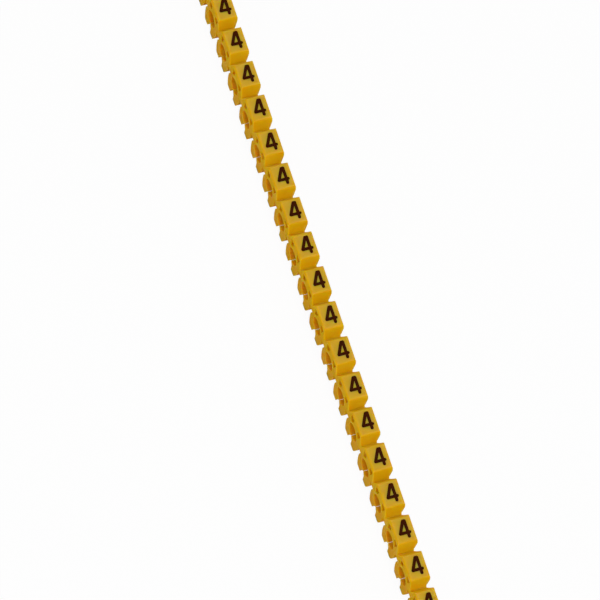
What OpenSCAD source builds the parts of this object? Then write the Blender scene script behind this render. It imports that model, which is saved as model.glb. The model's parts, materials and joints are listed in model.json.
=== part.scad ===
// Strip of snap-off clip-on cable markers.
// X runs along the marked wires, Y along the strip, Z up; the feet stand on Z = 0.

/* [Strip] */
// Number of markers in the strip
marker_count = 20; // [1:1:40]
// Distance from one marker to the next
pitch = 4.27; // [4.2:0.01:5]

/* [Marker] */
// Width of a marker along the wire
marker_w = 2.3; // [2:0.1:4]
// Height from the feet to the printed face
marker_h = 5.2; // [5:0.05:5.6]
// Rounding of the long edges of the printed face
edge_r = 0.25; // [0.1:0.01:0.4]
// Thickness of the plate under the printed face
plate_t = 0.6; // [0.45:0.05:0.7]
// Half the length of the printed face between its rounded ends
face_reach = 1.28; // [1.2:0.01:1.4]
// Rounding of the face's ends down into the end walls
brow_r = 0.2; // [0.1:0.01:0.3]
// Half the length over the outer ends of the two windows
window_reach = 1.45; // [1.25:0.01:1.5]
// How far each window's outer end leans inwards on its way down
window_lean = 0.3; // [0.2:0.05:0.4]
// Height of the windows' lower ends above the feet
window_z = 3.3; // [3.2:0.05:3.5]

/* [Wire clip] */
// Diameter of the hole that grips the wire
wire_d = 2.2; // [2:0.05:2.3]
// Height of the wire's axis above the feet
wire_z = 2.5; // [2.4:0.02:2.6]
// Wall of the ring around the wire hole
ring_wall = 0.35; // [0.3:0.01:0.4]
// Length of the neck between the ring and the plate
neck_l = 1.18; // [0.9:0.02:1.4]
// Half the length of the clip where its claws are fullest
claw_reach = 1.85; // [1.75:0.01:2]
// Height of the fullest point of the claws above the feet
claw_z = 2.1; // [1.9:0.05:2.3]
// Half the length of the clip at its feet, before rounding
foot_reach = 1.35; // [1.2:0.05:1.45]
// Rounding of the outer corner of each foot
foot_r = 0.25; // [0.15:0.05:0.35]
// Gap between the claws at the throat under the wire
throat_gap = 0.04; // [0.02:0.02:0.3]
// Height of the straight throat under the wire hole
throat_l = 0.06; // [0.04:0.02:0.1]
// Gap between the feet where the wire is pushed in
mouth_gap = 1.05; // [0.95:0.05:1.2]
// Gap between the claws' lips under the throat
lip_gap = 0.8; // [0.6:0.05:0.9]
// Height of the lips' lower edges above the feet
lip_z = 0.85; // [0.7:0.05:1]

/* [Break-off webs] */
// Height of the bottom of the groove between two heads
groove_z = 3.55; // [3.4:0.05:3.7]
// Height of the underside of the web above the feet
web_z = 2.75; // [2.65:0.05:2.9]
// Half the length of a marker at the waist under the web
waist_reach = 1.5; // [1.45:0.01:1.6]
// Radius of the round notch in one side of each web
notch_r = 0.46; // [0.3:0.02:0.5]

/* [Hidden] */
$fn = 96;
overlap = 0.05;
// Roundings stand this far inside the straight edges that they blend into
nip = 0.004;
plate_z = marker_h - plate_t;
wire_r = wire_d / 2;
ring_r = wire_r + ring_wall;
throat_z = wire_z - sqrt(pow(wire_r, 2) - pow(throat_gap / 2, 2));
// The end walls run tangent from the rounded ends of the face down to the middle of the groove
brow = [face_reach, marker_h - brow_r];
groove = [pitch / 2, groove_z];
brow_low = touch(groove, brow, brow_r, 1);
// Each marker carries on a little past the middle of the groove
web_end = groove + (groove - brow_low) * overlap / (groove[0] - brow_low[0]);
// Each claw's back is one large arc from the foot up to its fullest point
claw_lean = claw_reach - foot_reach;
swell_r = (pow(claw_lean, 2) + pow(claw_z, 2)) / (2 * claw_lean);
swell_y = claw_reach - swell_r;
// The foot rounding touches the ground and that arc
foot_y = swell_y + sqrt(pow(swell_r - foot_r, 2) - pow(claw_z - foot_r, 2));
foot_turn = swell_r / (swell_r - foot_r);
foot_top_y = swell_y + foot_turn * (foot_y - swell_y);
foot_top_z = claw_z + foot_turn * (foot_r - claw_z);

// Point where a line from p touches the circle of radius r around c
function touch(p, c, r, turn) =
    let (d = p - c, a = atan2(d[1], d[0]) + turn * acos(r / norm(d)))
    c + r * [cos(a), sin(a)];

module claw_outline() {
    intersection() {
        translate([swell_y, claw_z])
            circle(r = swell_r);
        translate([-swell_y, claw_z])
            circle(r = swell_r);
        translate([-pitch, foot_top_z])
            square([2 * pitch, claw_z - foot_top_z]);
    }
}

module foot_outline() {
    for (side = [-1, 1])
        translate([side * foot_y, foot_r])
            circle(r = foot_r - nip);
    polygon([
        [-foot_y, 0],
        [foot_y, 0],
        [foot_top_y, foot_top_z],
        [foot_y, claw_z],
        [-foot_y, claw_z],
        [-foot_top_y, foot_top_z]
    ]);
}

module body_outline() {
    for (side = [-1, 1])
        translate([side * brow[0], brow[1]])
            circle(r = brow_r - nip);
    polygon([
        [-foot_y, foot_top_z],
        [foot_y, foot_top_z],
        [claw_reach, claw_z],
        [waist_reach, web_z],
        [web_end[0], web_z],
        web_end,
        brow_low,
        [brow[0], marker_h],
        [-brow[0], marker_h],
        [-brow_low[0], brow_low[1]],
        [-web_end[0], web_end[1]],
        [-web_end[0], web_z],
        [-waist_reach, web_z],
        [-claw_reach, claw_z]
    ]);
}

module window_outline() {
    for (side = [-1, 1])
        mirror([side < 0 ? 1 : 0, 0])
            difference() {
                polygon([
                    [neck_l / 2, window_z],
                    [window_reach - window_lean, window_z],
                    [window_reach, plate_z],
                    [neck_l / 2, plate_z]
                ]);
                translate([0, wire_z])
                    circle(r = ring_r);
            }
}

module mouth_outline() {
    polygon([
        [-mouth_gap / 2, -overlap],
        [mouth_gap / 2, -overlap],
        [lip_gap / 2, lip_z],
        [throat_gap / 2, throat_z - throat_l],
        [throat_gap / 2, throat_z + overlap],
        [-throat_gap / 2, throat_z + overlap],
        [-throat_gap / 2, throat_z - throat_l],
        [-lip_gap / 2, lip_z]
    ]);
}

module marker_outline() {
    difference() {
        union() {
            foot_outline();
            claw_outline();
            body_outline();
        }
        translate([0, wire_z])
            circle(r = wire_r);
        mouth_outline();
        window_outline();
    }
}

module across_outline() {
    for (side = [-1, 1])
        translate([side * (marker_w / 2 - edge_r), marker_h - edge_r])
            circle(r = edge_r - nip);
    polygon([
        [-marker_w / 2, -overlap],
        [marker_w / 2, -overlap],
        [marker_w / 2, marker_h - edge_r],
        [marker_w / 2 - edge_r, marker_h],
        [-marker_w / 2 + edge_r, marker_h],
        [-marker_w / 2, marker_h - edge_r]
    ]);
}

module along_wire(length) {
    translate([-length / 2, 0, 0])
        rotate([90, 0, 90])
            linear_extrude(height = length)
                children();
}

module along_strip(length) {
    translate([0, length / 2, 0])
        rotate([90, 0, 0])
            linear_extrude(height = length)
                children();
}

module at_marker(i) {
    translate([0, (i - (marker_count - 1) / 2) * pitch, 0])
        children();
}

module marker() {
    intersection() {
        along_wire(marker_w + overlap)
            marker_outline();
        along_strip(pitch + 4 * overlap)
            across_outline();
    }
}

module side_notch() {
    translate([marker_w / 2, pitch / 2, web_z - overlap])
        cylinder(r = notch_r, h = marker_h - web_z);
}

module marker_strip() {
    color([0.8, 0.62, 0.1])
        difference() {
            union()
                for (i = [0 : marker_count - 1])
                    at_marker(i)
                        marker();
            for (i = [-1 : marker_count - 1])
                at_marker(i)
                    side_notch();
        }
}

marker_strip();
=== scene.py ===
# Snap-off strip of clip-on cable markers: yellow moulded plastic with a printed digit on every head
import json
import math

import bmesh
import bpy
from mathutils import Matrix, Vector


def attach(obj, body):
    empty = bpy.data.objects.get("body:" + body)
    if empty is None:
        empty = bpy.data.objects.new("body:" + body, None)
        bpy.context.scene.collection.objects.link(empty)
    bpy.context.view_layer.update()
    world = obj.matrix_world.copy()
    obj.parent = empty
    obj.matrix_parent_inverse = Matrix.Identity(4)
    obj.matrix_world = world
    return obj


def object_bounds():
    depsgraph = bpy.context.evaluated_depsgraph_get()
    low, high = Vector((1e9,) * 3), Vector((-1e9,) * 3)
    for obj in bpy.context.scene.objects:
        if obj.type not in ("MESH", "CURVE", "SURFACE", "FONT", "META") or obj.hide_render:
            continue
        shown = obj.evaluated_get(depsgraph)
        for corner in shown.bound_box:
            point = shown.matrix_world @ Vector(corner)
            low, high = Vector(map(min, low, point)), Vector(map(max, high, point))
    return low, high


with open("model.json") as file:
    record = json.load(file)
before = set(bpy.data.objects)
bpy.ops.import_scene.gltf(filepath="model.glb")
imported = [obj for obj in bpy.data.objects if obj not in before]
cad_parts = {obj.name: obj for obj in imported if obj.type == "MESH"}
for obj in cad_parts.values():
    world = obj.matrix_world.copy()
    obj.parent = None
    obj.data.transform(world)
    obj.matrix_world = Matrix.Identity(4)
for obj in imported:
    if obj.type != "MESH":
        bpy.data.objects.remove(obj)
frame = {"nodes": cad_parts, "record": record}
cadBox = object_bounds()
mm = 0.001
strip = frame["nodes"]["marker_strip"]
mounts = frame["record"]["mounts"]
clips = [mount["pos_m"] for mount in mounts if mount["kind"] == "clamp"]  # one under every head
wireHeight = clips[0][2]
faceHeight = cadBox[1].z
print("strip loaded:", len(clips), "markers")


# node helpers shared by the finishes

def newFinish(name):
    finish = bpy.data.materials.new(name)
    finish.use_nodes = True
    tree = finish.node_tree
    shader = tree.nodes["Principled BSDF"]
    return finish, tree, shader


def addNode(tree, kind, **inputs):
    node = tree.nodes.new(kind)
    for socket, value in inputs.items():
        node.inputs[socket.replace("_", " ")].default_value = value
    return node


def noiseAt(tree, size, detail=4.0, roughness=0.55):
    # noise whose blotches are about size metres across, fixed to the object
    place = tree.nodes.new("ShaderNodeTexCoord")
    noise = addNode(tree, "ShaderNodeTexNoise", Scale=1 / size, Detail=detail, Roughness=roughness)
    tree.links.new(place.outputs["Object"], noise.inputs["Vector"])
    return noise.outputs["Fac"]


def spread(tree, source, low, high):
    # stretches the middle of a noise to the range low..high
    ramp = addNode(tree, "ShaderNodeMapRange", From_Min=0.3, From_Max=0.7, To_Min=low, To_Max=high)
    tree.links.new(source, ramp.inputs["Value"])
    return ramp.outputs["Result"]


def byHeight(tree, start, end):
    # 0 at the height start, 1 at the height end
    place = tree.nodes.new("ShaderNodeTexCoord")
    split = tree.nodes.new("ShaderNodeSeparateXYZ")
    tree.links.new(place.outputs["Object"], split.inputs[0])
    rise = addNode(tree, "ShaderNodeMapRange", From_Min=start, From_Max=end)
    tree.links.new(split.outputs["Z"], rise.inputs["Value"])
    return rise.outputs["Result"]


def mixColours(tree, factor, first, second):
    # first is a colour or another node's output
    mix = tree.nodes.new("ShaderNodeMix")
    mix.data_type = "RGBA"
    if isinstance(first, tuple):
        mix.inputs["A"].default_value = first
    else:
        tree.links.new(first, mix.inputs["A"])
    mix.inputs["B"].default_value = second
    tree.links.new(factor, mix.inputs["Factor"])
    return mix.outputs["Result"]


def seenDirectly(tree):
    # 1 for what the camera sees, also in a reflection or through something clear
    path = tree.nodes.new("ShaderNodeLightPath")
    seen = path.outputs["Is Camera Ray"]
    for ray in ("Is Glossy Ray", "Is Transmission Ray"):
        either = tree.nodes.new("ShaderNodeMath")
        either.operation = "MAXIMUM"
        tree.links.new(seen, either.inputs[0])
        tree.links.new(path.outputs[ray], either.inputs[1])
        seen = either.outputs[0]
    return seen


# moulded yellow plastic, a little translucent so that thin walls and hollows glow orange; its colour also
# carries a painted glow on the claws, a painted sheen on the faces and painted highlights on the edges

plastic = {
    "deep": (0.62, 0.338, 0.002, 1),
    "pale": (0.67, 0.382, 0.005, 1),
    "flowMarks": 2.5 * mm,
    "claw": (0.645, 0.308, 0.008, 1),  # painted glow: the thin claws deeper and more orange, standing in for light passing through and bouncing inside them
    "clawFade": 1.1 * mm,
    "face": (0.54, 0.34, 0.025, 1),  # painted sheen: the up-facing faces paler and whiter, standing in for their reflection of the light
    "faceFade": 0.12 * mm,
    # painted highlight: paler colour along the rounded edges
    "wornEdge": (0.70, 0.46, 0.04, 1),
    "wear": 0.6,
    "wearTurn": (0.98, 0.85),  # cosine of the rounding's turn where the painted highlight starts and where it is full
    "edgeRound": 0.1 * mm,
    "edgeSamples": 6,
    "gloss": (0.5, 0.62),
    "glossMarks": 2.5 * mm / 3,
    "shine": 0.035,
    "skin": 0.08 * mm,
    "skinDetail": 3.0,
    "skinHeight": 0.0015 * mm,
    "skinStrength": 0.6,
    "glowDepth": 1.6 * mm,
    "glowRadius": (1.0, 0.35, 0.02),
}


def edgeHighlightMask(tree, rounded):
    # painted highlight: grows where the rounding turns the surface away from its own plane
    plane = tree.nodes.new("ShaderNodeNewGeometry")
    along = tree.nodes.new("ShaderNodeVectorMath")
    along.operation = "DOT_PRODUCT"
    tree.links.new(rounded, along.inputs[0])
    tree.links.new(plane.outputs["True Normal"], along.inputs[1])
    start, full = plastic["wearTurn"]
    turn = addNode(tree, "ShaderNodeMapRange", From_Min=start, From_Max=full, To_Max=plastic["wear"])
    tree.links.new(along.outputs["Value"], turn.inputs["Value"])
    return turn.outputs["Result"]


def plasticColour(tree, rounded):
    flow = noiseAt(tree, plastic["flowMarks"])
    colour = mixColours(tree, spread(tree, flow, 0, 1), plastic["deep"], plastic["pale"])
    # painted glow: below the wire's height the claws turn deeper orange
    glowOnClaws = byHeight(tree, wireHeight + plastic["clawFade"], wireHeight)
    colour = mixColours(tree, glowOnClaws, colour, plastic["claw"])
    # painted sheen: the top faces turn paler and whiter
    sheenOnFaces = byHeight(tree, faceHeight - plastic["faceFade"], faceHeight)
    colour = mixColours(tree, sheenOnFaces, colour, plastic["face"])
    # painted highlight: rounded edges turn paler
    return mixColours(tree, edgeHighlightMask(tree, rounded), colour, plastic["wornEdge"])


def yellowPlastic():
    finish, tree, shader = newFinish("yellowPlastic")
    edges = tree.nodes.new("ShaderNodeBevel")
    edges.samples = plastic["edgeSamples"]
    edges.inputs["Radius"].default_value = plastic["edgeRound"]
    rounded = edges.outputs["Normal"]
    tree.links.new(plasticColour(tree, rounded), shader.inputs["Base Color"])
    gloss = spread(tree, noiseAt(tree, plastic["glossMarks"]), *plastic["gloss"])
    tree.links.new(gloss, shader.inputs["Roughness"])
    skin = addNode(tree, "ShaderNodeBump", Strength=plastic["skinStrength"], Distance=plastic["skinHeight"])
    tree.links.new(noiseAt(tree, plastic["skin"], plastic["skinDetail"]), skin.inputs["Height"])
    tree.links.new(rounded, skin.inputs["Normal"])
    tree.links.new(skin.outputs["Normal"], shader.inputs["Normal"])
    shader.inputs["Subsurface Weight"].default_value = 1.0
    shader.inputs["Subsurface Radius"].default_value = plastic["glowRadius"]
    shader.inputs["Subsurface Scale"].default_value = plastic["glowDepth"]
    shader.inputs["Specular IOR Level"].default_value = plastic["shine"]
    return finish


strip.data.materials.clear()
strip.data.materials.append(yellowPlastic())
print("strip finished in yellow plastic")


# printed digits: one flat stroke shape on every head

digit = {
    "stroke": 0.36 * mm,
    "peak": Vector((0.10, 0.785)) * mm,  # top of the sloping stroke
    "stemTop": Vector((0.29, 0.785)) * mm,
    "elbow": Vector((-0.58, -0.555)) * mm,
    "barEnd": Vector((0.50, -0.555)) * mm,
    "foot": Vector((0.29, -1.02)) * mm,
    "place": Vector((0.06, 0.16)) * mm,  # from the middle of the head
    "arcSteps": 8,
    "inkHeight": 0.012 * mm,
    "inkRoot": 0.02 * mm,  # how far the ink reaches into the plastic
    "ink": (0.032, 0.005, 0.0003, 1),
    "thinInk": (0.055, 0.012, 0.0006, 1),
    "thinShare": (-0.6, 0.8),
    "blotch": 0.25 * mm,
    "blotchDetail": 5.0,
    "blotchRoughness": 0.65,
    "gloss": (0.5, 0.65),
    "shine": 0.02,
}


def strokeEnd(centre, startAngle, endAngle):
    # round end of a stroke, as points from one angle to the other
    radius = digit["stroke"] / 2
    steps = digit["arcSteps"]
    angles = [math.radians(startAngle + (endAngle - startAngle) * i / steps) for i in range(steps + 1)]
    return [centre + radius * Vector((math.cos(a), math.sin(a))) for a in angles]


def digitOutlines():
    peak, stemTop, elbow = digit["peak"], digit["stemTop"], digit["elbow"]
    barEnd, foot = digit["barEnd"], digit["foot"]
    half = digit["stroke"] / 2
    slope = (elbow - peak).normalized()
    outward = Vector((slope.y, -slope.x))  # left of the sloping stroke
    lean = math.degrees(math.atan2(outward.y, outward.x))
    right, left = stemTop.x + half, stemTop.x - half
    over, under = elbow.y + half, elbow.y - half
    outer = strokeEnd(stemTop, 0, 90) + strokeEnd(peak, 90, lean) + strokeEnd(elbow, lean, 270)
    outer += [Vector((left, under))] + strokeEnd(foot, 180, 360)
    outer += [Vector((right, under))] + strokeEnd(barEnd, 270, 450) + [Vector((right, over))]
    inside = peak - outward * half  # a point on the inner side of the sloping stroke
    top = inside + slope * ((left - inside.x) / slope.x)
    corner = inside + slope * ((over - inside.y) / slope.y)
    return outer, [top, corner, Vector((left, over))]


def digitMesh():
    bm = bmesh.new()
    for outline in digitOutlines():
        verts = [bm.verts.new((p + digit["place"]).to_3d()) for p in outline]
        for i, vert in enumerate(verts):
            bm.edges.new((vert, verts[i - 1]))
    bmesh.ops.triangle_fill(bm, use_beauty=True, edges=bm.edges[:])
    raised = bmesh.ops.extrude_face_region(bm, geom=bm.faces[:])["geom"]
    top = {v for v in raised if isinstance(v, bmesh.types.BMVert)}
    for vert in bm.verts:
        vert.co.z = digit["inkHeight"] if vert in top else -digit["inkRoot"]
    bmesh.ops.recalc_face_normals(bm, faces=bm.faces[:])
    mesh = bpy.data.meshes.new("digit")
    bm.to_mesh(mesh)
    bm.free()
    return mesh


def digitInk():
    finish, tree, shader = newFinish("digitInk")
    cover = noiseAt(tree, digit["blotch"], digit["blotchDetail"], digit["blotchRoughness"])
    colour = mixColours(tree, spread(tree, cover, *digit["thinShare"]), digit["ink"], digit["thinInk"])
    tree.links.new(colour, shader.inputs["Base Color"])
    tree.links.new(spread(tree, cover, *digit["gloss"]), shader.inputs["Roughness"])
    shader.inputs["Specular IOR Level"].default_value = digit["shine"]
    return finish


digitShape = digitMesh()
digitShape.materials.append(digitInk())
for number, (x, y, z) in enumerate(clips, 1):
    printed = bpy.data.objects.new(f"digit_{number:02d}", digitShape)
    printed.location = (x, y, faceHeight)
    bpy.context.collection.objects.link(printed)
    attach(printed, "root")
print("digits printed:", len(clips), "with", len(digitShape.polygons), "faces each")


# white sweep under and behind the strip

sweep = {"size": 1.6, "white": (0.75, 0.75, 0.75, 1), "roughness": 0.9, "shine": 0.93}


def sweepWhite():
    finish, tree, shader = newFinish("sweepWhite")
    shader.inputs["Base Color"].default_value = sweep["white"]
    shader.inputs["Roughness"].default_value = sweep["roughness"]
    shader.inputs["Specular IOR Level"].default_value = 0.0
    glow = addNode(tree, "ShaderNodeEmission", Color=(1, 1, 1, 1), Strength=1.0)
    share = tree.nodes.new("ShaderNodeMath")
    share.operation = "MULTIPLY"
    share.inputs[1].default_value = sweep["shine"]  # the rest stays lit, so the shadow shows
    tree.links.new(seenDirectly(tree), share.inputs[0])
    mix = tree.nodes.new("ShaderNodeMixShader")
    tree.links.new(share.outputs[0], mix.inputs[0])
    tree.links.new(shader.outputs[0], mix.inputs[1])
    tree.links.new(glow.outputs[0], mix.inputs[2])
    tree.links.new(mix.outputs[0], tree.nodes["Material Output"].inputs["Surface"])
    return finish


bpy.ops.mesh.primitive_plane_add(size=sweep["size"], location=(0, 0, 0))
floor = bpy.context.object
floor.name = "floor"
floor.data.materials.append(sweepWhite())
print("floor laid")


# soft studio light: an even white room and one soft box high over the strip

room = {"strength": 0.47}
softBox = {"azimuth": -105, "elevation": 73, "distance": 0.7, "size": 0.34, "power": 3.4}


def direction(azimuth, elevation):
    a, e = math.radians(azimuth), math.radians(elevation)
    return Vector((math.cos(a) * math.cos(e), math.sin(a) * math.cos(e), math.sin(e)))


def lightRoom():
    # dim for the light that it gives, white where it is seen
    world = bpy.data.worlds.new("room")
    world.use_nodes = True
    bpy.context.scene.world = world
    tree = world.node_tree
    dim = tree.nodes["Background"]
    dim.inputs["Color"].default_value = (1, 1, 1, 1)
    dim.inputs["Strength"].default_value = room["strength"]
    white = addNode(tree, "ShaderNodeBackground", Color=(1, 1, 1, 1), Strength=1.0)
    mix = tree.nodes.new("ShaderNodeMixShader")
    tree.links.new(seenDirectly(tree), mix.inputs[0])
    tree.links.new(dim.outputs[0], mix.inputs[1])
    tree.links.new(white.outputs[0], mix.inputs[2])
    tree.links.new(mix.outputs[0], tree.nodes["World Output"].inputs["Surface"])


def hangSoftBox():
    lamp = bpy.data.lights.new("softBox", "AREA")
    lamp.size = softBox["size"]
    lamp.energy = softBox["power"]
    holder = bpy.data.objects.new("softBox", lamp)
    aim = direction(softBox["azimuth"], softBox["elevation"])
    holder.location = aim * softBox["distance"]
    holder.rotation_euler = (-aim).to_track_quat("-Z", "Y").to_euler()
    bpy.context.collection.objects.link(holder)


lightRoom()
hangSoftBox()
print("light set")


# camera at the photo's view: one printed digit lands on its own pixel

photoView = {
    "azimuth": -129.85, "elevation": 67.24, "roll": 23.29,
    "distance": 448.3 * mm, "nearest": 10 * mm, "lens": 243.84, "sensor": 36.0,
    "marker": 10, "pixel": Vector((318.19, 278.78)), "imageSide": 600,
}


def placeCamera():
    view = photoView
    camera = bpy.data.cameras.new("photoCamera")
    camera.lens = view["lens"]
    camera.sensor_width = view["sensor"]
    camera.clip_start = view["nearest"]
    back = direction(view["azimuth"], view["elevation"])
    turn = (-back).to_track_quat("-Z", "Y").to_matrix()
    turn = turn @ Matrix.Rotation(math.radians(view["roll"]), 3, "Z")
    pixelSize = view["distance"] * view["sensor"] / view["lens"] / view["imageSide"]
    fromMiddle = (view["pixel"] - Vector((1, 1)) * view["imageSide"] / 2) * pixelSize
    x, y, z = clips[view["marker"]]
    aim = Vector((x, y, faceHeight)) + digit["place"].to_3d()
    spot = aim + turn @ Vector((-fromMiddle.x, fromMiddle.y, view["distance"]))
    holder = bpy.data.objects.new("photoCamera", camera)
    holder.matrix_world = Matrix.Translation(spot) @ turn.to_4x4()
    bpy.context.collection.objects.link(holder)
    bpy.context.scene.camera = holder


placeCamera()
bpy.context.scene.view_settings.view_transform = "Standard"
print("camera set")
